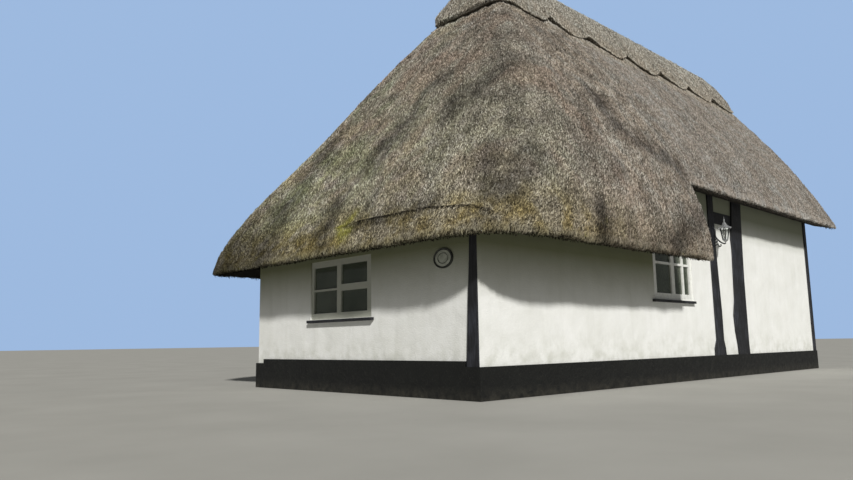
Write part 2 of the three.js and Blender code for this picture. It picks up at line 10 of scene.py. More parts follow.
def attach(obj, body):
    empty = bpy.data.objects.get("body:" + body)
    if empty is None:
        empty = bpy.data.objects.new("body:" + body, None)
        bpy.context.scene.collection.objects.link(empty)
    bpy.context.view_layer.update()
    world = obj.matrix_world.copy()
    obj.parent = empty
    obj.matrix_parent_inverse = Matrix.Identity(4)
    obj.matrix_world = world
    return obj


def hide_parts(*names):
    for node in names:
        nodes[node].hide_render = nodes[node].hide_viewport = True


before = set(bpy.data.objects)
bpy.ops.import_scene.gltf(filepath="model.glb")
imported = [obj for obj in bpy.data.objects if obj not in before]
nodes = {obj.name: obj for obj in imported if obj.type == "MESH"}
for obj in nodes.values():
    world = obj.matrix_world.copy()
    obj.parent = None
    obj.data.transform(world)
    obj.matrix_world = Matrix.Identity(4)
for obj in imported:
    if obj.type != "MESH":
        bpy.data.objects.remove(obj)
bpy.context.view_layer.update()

# The view: an eye crouching 0.66 m above the ground off the near front corner, looking along the
# front and the hipped end at once, tilted up a little at the roof.
def add(name, data):
    """A new object in the scene for a camera, a lamp or a mesh."""
    made = bpy.data.objects.new(name, data)
    bpy.context.scene.collection.objects.link(made)
    return made


EYE = (-11.521, -7.952, 0.663)
HEADING, PITCH, ROLL = (math.radians(a) for a in (46.258, 8.298, -0.840))
PICTURE_WIDTH_PIXELS = 853
FOCAL_LENGTH_PIXELS = 708.2
FILM_WIDTH = 36
ahead = Vector((
    math.cos(PITCH) * math.cos(HEADING),
    math.cos(PITCH) * math.sin(HEADING),
    math.sin(PITCH),
))
rightward = Vector((math.sin(HEADING), -math.cos(HEADING), 0))
upward = rightward.cross(ahead)
leaning_right = math.cos(ROLL) * rightward + math.sin(ROLL) * upward
leaning_up = math.cos(ROLL) * upward - math.sin(ROLL) * rightward
lens = bpy.data.cameras.new("view")
lens.sensor_width = FILM_WIDTH
lens.lens = FILM_WIDTH * FOCAL_LENGTH_PIXELS / PICTURE_WIDTH_PIXELS
lens.clip_end = 1500
view = add("view", lens)
facing = Matrix((leaning_right, leaning_up, -ahead)).transposed().to_4x4()
view.matrix_world = Matrix.Translation(EYE) @ facing
bpy.context.scene.camera = view

# The light: a soft sun over the front and the hipped end, and an even sky for the shade, before a
# plain blue backdrop.
bpy.context.scene.view_settings.view_transform = "Standard"
TO_SUN = Vector((-0.46, -0.67, 0.585))
lamp = bpy.data.lights.new("sun", "SUN")
lamp.energy = 3.3
lamp.angle = math.radians(4)
lamp.color = (1.0, 0.98, 0.94)
sun = add("sun", lamp)
sun.matrix_world = TO_SUN.to_track_quat("Z", "Y").to_matrix().to_4x4()
sky = bpy.data.worlds.new("sky")
bpy.context.scene.world = sky
sky.use_nodes = True
sky_nodes = sky.node_tree.nodes
sky_nodes["Background"].inputs["Color"].default_value = (0.90, 0.94, 0.97, 1)
sky_nodes["Background"].inputs["Strength"].default_value = 0.12
backdrop = sky_nodes.new("ShaderNodeBackground")
backdrop.inputs["Color"].default_value = (0.34, 0.49, 0.74, 1)
seen = sky_nodes.new("ShaderNodeLightPath")
either = sky_nodes.new("ShaderNodeMixShader")
sky.node_tree.links.new(seen.outputs["Is Camera Ray"], either.inputs[0])
sky.node_tree.links.new(sky_nodes["Background"].outputs[0], either.inputs[1])
sky.node_tree.links.new(backdrop.outputs[0], either.inputs[2])
sky.node_tree.links.new(either.outputs[0], sky_nodes["World Output"].inputs["Surface"])


# The floor: plain pale ground for the cottage to stand on, faintly mottled. Its material brings in
# the one small class that every finish in this file is drawn with.
class Wire:
    """A socket in a material's tree. Arithmetic on it adds Math nodes, and node() adds any other."""

    def __init__(self, tree, socket=None):
        self.tree = tree
        self.socket = socket

    def node(self, kind, sockets=None, out=0, stops=None, **settings):
        """A new node: its settings and a ramp's stops first, then its sockets' values or links."""
        made = self.tree.nodes.new("ShaderNode" + kind)
        for name, value in settings.items():
            setattr(made, name, value)
        if stops:
            while len(made.color_ramp.elements) < len(stops):
                made.color_ramp.elements.new(1)
            for element, (place, colour) in zip(made.color_ramp.elements, stops):
                element.position = place
                element.color = colour
        for name, value in (sockets or {}).items():
            if isinstance(value, Wire):
                self.tree.links.new(value.socket, made.inputs[name])
            else:
                made.inputs[name].default_value = value
        return Wire(self.tree, made.outputs[out])

    def maths(self, operation, *values):
        return self.node("Math", dict(enumerate(values)), operation=operation)

    def __add__(self, other):
        return self.maths("ADD", self, other)

    def __sub__(self, other):
        return self.maths("SUBTRACT", self, other)

    def __rsub__(self, other):
        return self.maths("SUBTRACT", other, self)

    def __mul__(self, other):
        return self.maths("MULTIPLY", self, other)

    __radd__ = __add__
    __rmul__ = __mul__

    def rise(self, low, high):
        """0 where the value is under low, 1 over high, and even in between. high may be the lower."""
        return self.node("MapRange", {"Value": self, "From Min": low, "From Max": high})

    def mix(self, first, second):
        """The first colour where this is 0, the second where it is 1."""
        return self.node("Mix", {0: self, 6: first, 7: second}, out=2, data_type="RGBA")

    def axis(self, name):
        """How far a point lies along x, y or z, in metres."""
        place = self.node("TexCoord", out="Object")
        return self.node("SeparateXYZ", {"Vector": place}, out="XYZ".index(name))

    def stored(self, name):
        """The value that a mesh holds at its points under that name."""
        return self.node("Attribute", out="Fac", attribute_name=name)

    def grain(self, scale, detail=3.0, roughness=0.55, stretch=(1, 1, 1), shift=(0, 0, 0), place=None):
        """Noise of that many grains to the metre, each axis multiplied by its stretch, then shifted."""
        place = place or self.node("TexCoord", out="Object")
        if stretch != (1, 1, 1) or shift != (0, 0, 0):
            place = self.node("Mapping", {"Vector": place, "Scale": stretch, "Location": shift})
        sockets = {"Vector": place, "Scale": scale, "Detail": detail, "Roughness": roughness}
        return self.node("TexNoise", sockets)


def srgb(red, green, blue):
    """A colour as read on a screen, 0 to 255, as the light it stands for."""
    steps = np.array([red, green, blue]) / 255
    light = np.where(steps < 0.04045, steps / 12.92, ((steps + 0.055) / 1.055) ** 2.4)
    return (*light.tolist(), 1.0)


def coating(name, roughness=0.85, **fixed):
    """A new material, its shader, and a Wire to draw with in its tree."""
    made = bpy.data.materials.new(name)
    made.use_nodes = True
    shader = made.node_tree.nodes["Principled BSDF"]
    shader.inputs["Roughness"].default_value = roughness
    for socket, value in fixed.items():
        shader.inputs[socket.replace("_", " ")].default_value = value
    return made, shader, Wire(made.node_tree)


def connect(shader, **wires):
    """Links wires to a shader's sockets, written with an underscore for each space."""
    for socket, wire in wires.items():
        wire.tree.links.new(wire.socket, shader.inputs[socket.replace("_", " ")])


def bump(wire, height, distance, strength=1.0):
    """Relief: a height of 0 to 1 stands for so many metres."""
    return wire.node("Bump", {"Height": height, "Distance": distance, "Strength": strength})


def sheet_of(name, points, faces):
    """A mesh object from arrays of points and of corners, its faces turned to point out."""
    corners = points[faces[:, :3]]
    if np.einsum("ij,ij->", corners[:, 0], np.cross(corners[:, 1], corners[:, 2])) < 0:
        faces = faces[:, ::-1]
    mesh = bpy.data.meshes.new(name)
    mesh.vertices.add(len(points))
    mesh.vertices.foreach_set("co", np.ascontiguousarray(points, np.float32).ravel())
    mesh.loops.add(faces.size)
    mesh.loops.foreach_set("vertex_index", np.ascontiguousarray(faces, np.int32).ravel())
    mesh.polygons.add(len(faces))
    mesh.polygons.foreach_set("loop_start", np.arange(0, faces.size, faces.shape[1], dtype=np.int32))
    mesh.update(calc_edges=True)
    return add(name, mesh)


floor_paint, shader, draw = coating("floor_paint", 0.9)
mottle = draw.grain(0.7, 4)
connect(shader, Base_Color=mottle.rise(0.3, 0.7).mix(srgb(174, 173, 167), srgb(184, 183, 177)))
FLOOR_REACH = 400.0
FLOOR_SUNK = 0.002
floor_corners = np.array([[-1, -1, 0], [1, -1, 0], [1, 1, 0], [-1, 1, 0]]) * FLOOR_REACH
floor = sheet_of("floor", floor_corners - [0, 0, FLOOR_SUNK], np.array([[0, 1, 2, 3]]))
floor.data.materials.append(floor_paint)


# The plinth: render over brick, blacked with bitumen paint, lumpy and half glossy, dusty at its foot.
def refinish(material, *names):
    """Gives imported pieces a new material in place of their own."""
    for name in names:
        slots = nodes[name].data.materials
        slots.clear()
        slots.append(material)


tar_coat, shader, draw = coating("tar_coat", 0.5)
dust = draw.axis("Z").rise(0.16, 0.0) * draw.grain(9, 4, 0.6).rise(0.35, 0.7)
lumps = draw.grain(9, 4, 0.6)
tar = draw.grain(3, 3).rise(0.3, 0.7).mix(srgb(4, 5, 5), srgb(13, 15, 13))
connect(
    shader,
    Base_Color=(dust * 0.45).mix(tar, srgb(84, 80, 70)),
    Roughness=draw.grain(14, 3).rise(0.2, 0.8) * 0.3 + 0.42,
    Normal=bump(draw, lumps + draw.grain(60, 2) * 0.15, 0.02, 0.8),
)
refinish(
    tar_coat,
    "front_plinth", "rear_plinth_near", "rear_plinth_far", "near_end_plinth", "far_end_plinth",
)

# Floor and threshold: worn red-brown paviours bedded inside the plinth.
paving, shader, draw = coating("paving", 0.85)
connect(
    shader,
    Base_Color=draw.grain(4, 4).rise(0.3, 0.7).mix(srgb(120, 92, 76), srgb(150, 122, 100)),
    Normal=bump(draw, draw.grain(24, 4), 0.006, 0.7),
)
refinish(paving, "ground_floor", "door_threshold")

# The walls: old render under many coats of lime wash, hollow and patched, grey low down where rain
# splashes it, and painted dark olive with shade right under the eaves, the low one and the raised one.
def span(node, axis):
    """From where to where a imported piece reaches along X, Y or Z, to a tenth of a millimetre."""
    vertices = nodes[node].data.vertices
    places = np.empty(3 * len(vertices), np.float32)
    vertices.foreach_get("co", places)
    along = places["XYZ".index(axis)::3]
    return round(float(along.min()), 4), round(float(along.max()), 4)


NEAR_WALL_X = span("near_end_wall", "X")[0]
HALF_WALL = span("rear_wall", "Y")[1]
PLINTH_TOP = span("front_plinth", "Z")[1]
LOW_EAVE = span("near_hip_thatch", "Z")[0]
RAISED_EAVE = span("front_thatch_raised", "Z")[0]
STEP_X, VERGE_X = span("front_thatch_raised", "X")

lime_wash, shader, draw = coating("lime_wash", 0.9, Specular_IOR_Level=0.2)
height = draw.axis("Z")
cloud = draw.grain(1.6, 4, 0.6)
brushed = draw.grain(34, 3, 0.6, stretch=(1, 1, 2.2))
hollow = draw.grain(3.2, 2, 0.5)
wash = cloud.rise(0.35, 0.7).mix(srgb(249, 250, 248), srgb(238, 239, 235))
splash = height.rise(0.85, PLINTH_TOP) * draw.grain(5, 4, 0.6).rise(0.42, 0.68)
wash = (splash * 0.5).mix(wash, srgb(180, 182, 166))
streaks = draw.grain(7, 3, 0.6, stretch=(1, 1, 0.12)).rise(0.5, 0.72)
wash = (streaks * 0.14).mix(wash, srgb(204, 206, 196))
beyond_step = draw.axis("X").rise(STEP_X - 0.05, STEP_X + 0.05)
long_wall = draw.maths("ABSOLUTE", draw.axis("Y")).rise(HALF_WALL - 0.125, HALF_WALL - 0.015)
# Painted shade: the wash darkens to olive under the low eave, and under the raised one on the long walls.
under_low_eave = height.rise(LOW_EAVE - 0.70, LOW_EAVE) * (1 - beyond_step)
under_raised_eave = height.rise(RAISED_EAVE - 0.64, RAISED_EAVE - 0.14) * beyond_step * long_wall
painted_eave_shade = beyond_step.mix(srgb(108, 112, 69), srgb(126, 131, 108))
wash = ((under_low_eave + under_raised_eave) * 0.9).mix(wash, painted_eave_shade)
connect(shader, Base_Color=wash, Normal=bump(draw, brushed * 0.25 + hollow, 0.02, 0.7))
refinish(
    lime_wash,
    "front_wall_near", "front_wall_far", "bay_panel_lower", "bay_panel_upper",
    "rear_wall", "near_end_wall", "far_gable_wall",
)

# The timbers: crooked oak posts and a head beam, tarred black, their grain raised by the weather and
# worn to a grey-blue bloom, and bare oak plates on the wall heads.
black_oak, shader, draw = coating("black_oak", 0.55)
fibre = draw.grain(38, 4, 0.65, stretch=(1, 1, 0.08))
worn = draw.grain(2.4, 3).rise(0.45, 0.7) * fibre.rise(0.4, 0.7)
connect(
    shader,
    Base_Color=(worn * 0.7).mix(
        fibre.rise(0.35, 0.75).mix(srgb(17, 18, 22), srgb(42, 43, 48)),
        srgb(84, 88, 102),
    ),
    Normal=bump(draw, fibre, 0.012, 1.0),
)
refinish(
    black_oak,
    "left_post", "right_post", "head_beam", "near_corner_post", "far_corner_post",
    "rear_door_frame",
    "near_end_window_sill", "front_window_sill", "rear_window_sill", "far_end_window_sill",
)
bare_oak, shader, draw = coating("bare_oak", 0.8)
fibre = draw.grain(30, 4, 0.6, stretch=(0.12, 1, 1))
connect(
    shader,
    Base_Color=fibre.rise(0.35, 0.75).mix(srgb(96, 78, 58), srgb(142, 120, 92)),
    Normal=bump(draw, fibre, 0.006, 0.8),
)
refinish(bare_oak, "front_wall_plate", "rear_wall_plate", "near_end_wall_plate")

# The rear door: one leaf of upright boards, tarred, with a dark joint every 148 mm.
BOARD = 0.148
door_boards, shader, draw = coating("door_boards", 0.55)
fibre = draw.grain(38, 4, 0.65, stretch=(1, 1, 0.08))
board = draw.maths("FRACT", draw.axis("X") * (1 / BOARD))
joint = board.rise(0.06, 0.0) + board.rise(0.94, 1.0)
connect(
    shader,
    Base_Color=joint.mix(fibre.rise(0.35, 0.75).mix(srgb(24, 26, 29), srgb(50, 52, 56)), srgb(6, 6, 7)),
    Normal=bump(draw, fibre * 0.3 - joint, 0.008, 1.0),
)
refinish(door_boards, "rear_door")

# The windows: white painted frames with thin glazing bars, greyed at the near end as painted shade,
# and old glass, slightly green and dusty.
frame_paint, shader, draw = coating("frame_paint", 0.4)
grime = draw.grain(18, 4, 0.6).rise(0.48, 0.75)
# Painted shade: the near end's frame is given a grey in place of the white.
near_end = draw.axis("X").rise(NEAR_WALL_X + 0.22, NEAR_WALL_X + 0.12)
white_and_painted_shade = near_end.mix(srgb(240, 241, 237), srgb(178, 180, 168))
connect(
    shader,
    Base_Color=(grime * 0.5).mix(white_and_painted_shade, srgb(190, 192, 180)),
    Normal=bump(draw, draw.grain(40, 3), 0.002, 0.5),
)
old_glass, shader, draw = coating("old_glass", 0.03, Transmission_Weight=0.7, IOR=1.5)
connect(
    shader,
    Base_Color=draw.grain(1.8, 2).rise(0.3, 0.7).mix(srgb(112, 122, 104), srgb(150, 158, 142)),
    Normal=bump(draw, draw.grain(3.5, 2), 0.003, 0.6),
)
for window in ("near_end_window", "front_window", "rear_window", "far_end_window"):
    refinish(frame_paint, window + "_frame")
    refinish(old_glass, window + "_glass")


# The thatch: straw laid in a coat 0.45 m thick, combed down the slopes, hipped and rounded over the
# near end, cut square at the far verge and trimmed along the eaves. Each of its five stretches is a
# closed skin, worked out from the same curved slope and the same ridges as the solids.
COAT = 0.45
LIP = 0.055
BUTT_RISE = 0.11
NEAR_LIP_X = NEAR_WALL_X - 0.62
# The curved slope at the low eave, at its knee and at the cap: its height, its distance out from the
# ridge's line, and its distance in from the hip's lip.
SLOPE_HEIGHT = (LOW_EAVE, 3.30, 6.32)
SLOPE_HALF = (HALF_WALL + 0.85, HALF_WALL + 0.905, 0.84)
SLOPE_IN = (0, 0.79, 3.115)
# The two near corners' radii at the eave and at the cap.
FRONT_ROUND = (0.90, 0.26)
REAR_ROUND = (0.47, 0.33)
REAR_SWAY = 0.22
# A place on the roof is s, round it, and t, up it, as roof_point says.
MIDDLE_OF_HIP = 3.5
COAT_TOP_T = 1.05
FURTHEST_T = 1.35


def slope(low, knee, top, t):
    """The quadratic curve low(1-t)² + 2 knee t(1-t) + top t², going on straight past t = 1."""
    curve = low * (1 - t) ** 2 + 2 * knee * t * (1 - t) + top * t ** 2
    return np.where(t > 1, top + 2 * (top - knee) * (t - 1), curve)


def climb(low, knee, top, t):
    """How steeply that curve climbs at t: 2(knee - low)(1-t) + 2(top - knee)t."""
    return 2 * (knee - low) * (1 - t) + 2 * (top - knee) * t


def roof_height(t):
    """How high the slope is at t."""
    return slope(*SLOPE_HEIGHT, t)


def roof_half(t):
    """How far out from the ridge's line each long slope is at t."""
    return slope(*SLOPE_HALF, t)


def roof_near(t):
    """Where along the cottage the hip is at t."""
    return NEAR_LIP_X + slope(*SLOPE_IN, t)


def t_at(height):
    """How far up the slope, 0 to 1 at the cap and on past it, a height is."""
    ladder = np.linspace(0, FURTHEST_T, 2001)
    return np.interp(height, roof_height(ladder), ladder)


def corner_radius(s, t):
    """Both near corners grow tighter evenly with t. The rear one also sways in and out by a sine."""
    up = np.clip(t, 0, 1)
    front, rear = (eave + (cap - eave) * up for eave, cap in (FRONT_ROUND, REAR_ROUND))
    return np.where(s < MIDDLE_OF_HIP, rear - REAR_SWAY * np.sin(2.5 * np.pi * up), front)


# Metres round the eave at each whole number of s, from the rear verge, and the two waves of the
# combed ridges: how often they come and how high they are.
EAVE_ROUND = np.cumsum([0, 7.04, 4.57, 0.738, 5.18, 1.414, 4.14, 7.04])
WANDERING_WAVE, WANDERING_HEIGHT = 1.05, 0.012
LEANING_WAVE, LEANING_HEIGHT = 1.70, 0.008


def ridges(s, t):
    """How far in the combed surface lies of the slope: two waves round the eave, the first one
    wandering and the second leaning over as it climbs. They die away under the ridge cap."""
    distance = np.interp(s, np.arange(8), EAVE_ROUND)
    wandering = np.sin(2 * np.pi * distance / WANDERING_WAVE + 1.5 * np.sin(distance / 1.9))
    leaning = np.sin(2 * np.pi * distance / LEANING_WAVE + 3 * t)
    wave = WANDERING_HEIGHT * wandering + LEANING_HEIGHT * leaning
    return WANDERING_HEIGHT + LEANING_HEIGHT - np.clip((1.15 - t) / 0.1, 0, 1) * wave


def roof_point(s, t, inset=0.0, half=None, near=None, radius=None, height=None):
    """A point on the roof. s goes round it: from the rear verge at 0, past the rear step at 1, the
    rear corner from 2 to 3 and the hip from 3 to 4, then back along the front to the verge at 7.
    t goes up the slope. Corners are quarter circles, and inset moves the point level inwards."""
    half = (roof_half(t) if half is None else half) - inset
    near = (roof_near(t) if near is None else near) + inset
    radius = np.clip(corner_radius(s, t) - inset, 0.02, 0.9 * half) if radius is None else radius
    q = np.where(s < MIDDLE_OF_HIP, s, 7 - s)
    turn = np.clip(q - 2, 0, 1) * np.pi / 2
    x = np.select(
        [q <= 1, q <= 2, q <= 3],
        [
            VERGE_X + q * (STEP_X - VERGE_X),
            STEP_X + (q - 1) * (near + radius - STEP_X),
            near + radius * (1 - np.sin(turn)),
        ],
        near,
    )
    across_hip = (half - radius) * (1 - 2 * (q - 3))
    y = np.select([q <= 2, q <= 3], [half, half - radius * (1 - np.cos(turn))], across_hip)
    z = roof_height(t) if height is None else height
    return np.stack(np.broadcast_arrays(x, np.where(s < MIDDLE_OF_HIP, y, -y), z), -1)


def soft_noise(points, seed=0):
    """Smooth noise of unit grain, -1 to 1: a random value at each whole-number point, blended by
    3f² - 2f³ of the way f between them."""
    cell = np.floor(points).astype(np.int64)
    way = points - cell
    way = way * way * (3 - 2 * way)
    total = 0.0
    for corner in np.ndindex(2, 2, 2):
        key = (cell + corner) @ np.array([374761393, 668265263, 1440662683]) + seed * 974634777
        key = (key ^ (key >> 13)) * 1274126177
        value = ((key ^ (key >> 16)) & 0xFFFFFF) / 0x7FFFFF - 1
        total = total + value * np.prod(np.where(corner, way, 1 - way), -1)
    return total


def comb_of(s, points):
    """Metres round the eave, and metres up the slope, of points on a [column, row] grid."""
    round_eave = np.interp(s, np.arange(8), EAVE_ROUND)
    up = np.linalg.norm(np.diff(points, axis=1), axis=-1)
    up = np.concatenate([np.zeros((len(points), 1)), np.cumsum(up, 1)], 1)
    return np.stack([np.broadcast_to(round_eave, up.shape), up], -1)


def unit(ways):
    """Directions, each divided by its own length."""
    return ways / np.maximum(np.linalg.norm(ways, axis=-1, keepdims=True), 1e-9)


def outward(grid):
    """Unit normals of a [column, row] grid of points: up the slope crossed with round the eave."""
    return unit(np.cross(np.gradient(grid, axis=1), np.gradient(grid, axis=0)))


def combed_noise(comb, round_eave, up, seed):
    """Smooth noise of so many grains to the metre round the eave, and so many up the slope."""
    flat = np.concatenate([comb * [round_eave, up], np.zeros_like(comb[..., :1])], -1)
    return soft_noise(flat, seed)


def tussocks(points, comb):
    """How far the straw stands out, in metres: shallow sags, fine combing down the slope, and small
    tufts. Each is its height times noise of so many grains to the metre."""
    sags = 0.006 * soft_noise(points * 2.4, 2)
    combing = 0.005 * combed_noise(comb, 7, 1.1, 3) + 0.006 * combed_noise(comb, 17, 3, 4)
    tufts = 0.006 * soft_noise(points * 13, 5) + 0.004 * soft_noise(points * 29, 6)
    return sags + combing + tufts


LEDGE = 0.035
LEDGE_ARC = np.array([
    (-3.17, 1.955), (-3.05, 2.03), (-2.88, 2.125), (-2.67, 2.195), (-2.48, 2.222), (-2.04, 2.268),
    (-1.49, 2.29), (-0.70, 2.285), (-0.16, 2.274), (0.60, 2.25),
])


def ledge_height(y):
    """Round the near end a thin upper coat ends on the skirt, along a low arc, at this height."""
    return np.interp(y, *LEDGE_ARC.T)


def on_ledge(points):
    """1 where that upper coat stands clear of the skirt, fading out to the rear and round the corner."""
    x, y = points[..., 0], points[..., 1]
    from_rear = np.clip((0.5 - y) / 1.1, 0, 1)
    from_corner = np.clip((y + 3.04) / 0.3, 0, 1)
    return from_rear * from_corner * np.clip((-5.33 - x) / 0.2, 0, 1)


def end_ledge(points):
    """How far the upper coat stands out: a step at the ledge, thinning over the next 0.7 m, and a
    shallow groove under it."""
    above = points[..., 2] - ledge_height(points[..., 1])
    step = np.clip(above / 0.03 + 0.5, 0, 1)
    return on_ledge(points) * (LEDGE * step * np.clip(1 - above / 0.7, 0, 1) - 0.010 * (1 - step))


# Streaks of painted shadow, dark patches of dappled shade on the thatch, and streaks of moss: where
# each starts and ends, and how far it spreads to either side.
SHADOW_STREAKS = [
    ((-4.34, -1.96, 4.39), (-4.65, -1.45, 4.00), 0.34),
    ((-4.09, -0.55, 4.77), (-4.73, -0.37, 3.88), 0.22),
    ((-4.73, -0.37, 3.88), (-5.15, -0.17, 3.28), 0.28),
    ((-4.64, 1.56, 4.01), (-5.13, 1.63, 3.31), 0.26),
    ((-5.24, -2.58, 3.03), (-5.55, -2.80, 2.40), 0.20),
    ((-5.09, -2.97, 2.86), (-5.51, -2.96, 2.40), 0.26),
    ((-5.75, -2.03, 2.33), (-5.83, -0.58, 2.20), 0.13),
    ((-5.52, 0.15, 2.72), (-5.91, -0.01, 2.09), 0.17),
    ((-5.48, 1.69, 2.77), (-5.95, 1.44, 2.00), 0.30),
    ((-2.52, -2.30, 4.35), (-2.41, -2.62, 3.82), 0.26),
    ((-2.06, -2.70, 3.67), (-1.16, -2.83, 3.43), 0.32),
    ((-2.20, -3.27, 2.04), (-1.14, -3.18, 2.55), 0.22),
    ((-3.96, -3.21, 2.40), (-4.02, -3.23, 1.99), 0.12),
    ((-4.72, -2.50, 3.80), (-4.90, -2.60, 3.40), 0.15),
]
MOSS = [
    ((-5.74, -0.42, 2.44), (-5.80, -0.30, 2.26), 0.09),
    ((-5.80, -0.30, 2.26), (-5.87, -0.50, 2.10), 0.12),
]


def patches(points, streaks):
    """How deep in a streak each point lies, 0 to 1: exp(-(d/r)²) at d from the nearest line between
    a streak's two ends, r being its reach, made ragged by noise."""
    deep = np.zeros(points.shape[:-1])
    for first, last, reach in streaks:
        first, way = np.array(first), np.subtract(last, first)
        along = np.clip((points - first) @ way / (way @ way), 0, 1)
        away = np.linalg.norm(points - first - along[..., None] * way, axis=-1)
        deep = np.maximum(deep, np.exp(-((away / reach) ** 2)))
    return np.clip(deep * (1 + 0.6 * soft_noise(points * 5, 14) + 0.4 * soft_noise(points * 12, 15)), 0, 1)


def mark(mesh, points, comb):
    """Stores how deep in painted shadow and how mossy each point of a mesh is, and how light the strip of
    straw is that it lies in, for its finish to read. The strips are smooth noise drawn out 7 times down
    the slope, with a painted highlight on the upper coat at the ledge and a painted shadow line right
    under it."""
    bands_and_ledge_shade = 0.6 * combed_noise(comb, 3.4, 0.5, 21) + 0.5 * combed_noise(comb, 9, 1.2, 22)
    above = points[..., 2] - ledge_height(points[..., 1])
    # Painted highlight and shadow: a pale line along the upper coat's edge at the ledge, and a dark line just
    # under it.
    edge = 2 * np.exp(-(((above - 0.018) / 0.010) ** 2)) - 5 * np.exp(-(((above + 0.010) / 0.016) ** 2))
    bands_and_ledge_shade = bands_and_ledge_shade + edge * on_ledge(points)
    values = {"streak_shadow": patches(points, SHADOW_STREAKS), "moss": patches(points, MOSS), "straw_band_and_ledge_shade": bands_and_ledge_shade}
    for name, value in values.items():
        layer = mesh.attributes.new(name, "FLOAT", "POINT")
        layer.data.foreach_set("value", value.astype(np.float32).ravel())


# How far round its lower lip a coat has turned, row by row.
LIP_TURN = np.radians([[5, 30, 55, 78]])


def thatch_skin(name, s_range, columns, foot_t, rows):
    """A closed stretch of the coat: up the outside, down the inside, out along the butt, which falls
    from the inside to the lip, and round the lip. Returns the object, its columns' s, the grid of its
    outside, the grid of its butt, and the height of its eave."""
    s = np.linspace(*s_range, columns)[:, None]
    rate = climb(*SLOPE_HEIGHT, foot_t)
    foot_z = float(roof_height(np.array(foot_t)))
    outside_t = np.linspace(foot_t + LIP / rate, COAT_TOP_T, rows)[None]
    outside = roof_point(s, outside_t, ridges(s, outside_t))
    comb = comb_of(s, outside)
    proud = tussocks(outside, comb) + end_ledge(outside)
    shown = outside + outward(outside) * proud[..., None]
    inside_t = np.array([[COAT_TOP_T, 0.8, 0.6, 0.45, float(t_at(foot_z + BUTT_RISE))]])
    inside = roof_point(s, inside_t, COAT)
    inset = np.array([[0.36, 0.27, 0.19, 0.12, 0.075]])
    butt = roof_point(s, t_at(foot_z + BUTT_RISE * (inset - LIP) / (COAT - LIP)), inset)
    butt[..., 2] += 0.012 * soft_noise(butt * 16, 7) + 0.006 * soft_noise(butt * 3, 8)
    lip_t = foot_t + LIP * (1 - np.cos(LIP_TURN)) / rate
    lip = roof_point(s, lip_t, LIP * (1 - np.sin(LIP_TURN)) + ridges(s, lip_t) * np.sin(LIP_TURN))
    shift = (shown - outside)[:, :1] * np.sin(LIP_TURN)[..., None]
    lip = lip + shift + 0.008 * soft_noise(lip * 22, 9)[..., None] * [0, 0, 1]
    ring = np.concatenate([shown, inside, butt, lip], 1)
    cut = [column for column, end in zip((0, -1), s_range) if end in (0, 1, 6, 7)]
    comb = comb_of(s, np.concatenate([ring, ring[:, :1]], 1))
    made = close_ring(name, ring, comb, rows, LIP_TURN.size, cut=cut)
    mark(made.data, ring, comb[:, :-1])
    return made, s, np.concatenate([lip, shown], 1), np.concatenate([butt, lip[:, :1]], 1), foot_z


def close_ring(name, ring, comb, shown, lip, dusk=0.2, cut=()):
    """A closed mesh from a [column, row] grid whose rows run round: flat faces fill both ends. The
    attribute daylit, painted daylight that its finish darkens by, is 1 on the first shown rows and on
    the columns that are cut ends, in daylight, and comes up from dusk over the lip's rows."""
    columns, rows = ring.shape[:2]
    i, j = np.meshgrid(np.arange(columns - 1), np.arange(rows), indexing="ij")
    k = (j + 1) % rows
    quads = np.stack([(i + 1) * rows + j, (i + 1) * rows + k, i * rows + k, i * rows + j], -1)
    first = np.arange(rows)
    last = (columns - 1) * rows + first[::-1]
    faces = quads.reshape(-1, 4).tolist() + [first.tolist(), last.tolist()]
    mesh = bpy.data.meshes.new(name)
    mesh.from_pydata(ring.reshape(-1, 3).tolist(), [], faces)
    column = np.stack([i + 1, i + 1, i, i], -1)
    row = np.stack([j, j + 1, j + 1, j], -1)
    on_quads = comb[column.ravel(), row.ravel()]
    on_ends = [ring[0][:, 1:], ring[-1][::-1, 1:]]
    layer = mesh.uv_layers.new(name="comb")
    layer.uv.foreach_set("vector", np.concatenate([on_quads, *on_ends]).astype(np.float32).ravel())
    # Painted shade: inside, butt and lip rows get less painted daylight, and their finish darkens there.
    daylight = np.zeros((columns, rows), np.float32)
    daylight[:, :shown] = 1
    daylight[:, rows - lip:] = np.linspace(dusk, 1, lip)
    daylight[list(cut)] = 0.8
    mesh.attributes.new("daylit", "FLOAT", "POINT").data.foreach_set("value", daylight.ravel())
    mesh.shade_smooth()
    mesh.set_sharp_from_angle(angle=math.radians(50))
    return add(name, mesh)


RAISED_T = float(t_at(RAISED_EAVE))
stretches = {
    "near_hip_thatch": thatch_skin("near_hip_thatch_coat", (2.5, 4.5), 181, 0.0, 150),
    "front_thatch_low": thatch_skin("front_thatch_low_coat", (4.5, 6.0), 121, 0.0, 140),
    "front_thatch_raised": thatch_skin("front_thatch_raised_coat", (6.0, 7.0), 151, RAISED_T, 90),
    "rear_thatch_low": thatch_skin("rear_thatch_low_coat", (1.0, 2.5), 81, 0.0, 80),
    "rear_thatch_raised": thatch_skin("rear_thatch_raised_coat", (0.0, 1.0), 91, RAISED_T, 60),
}


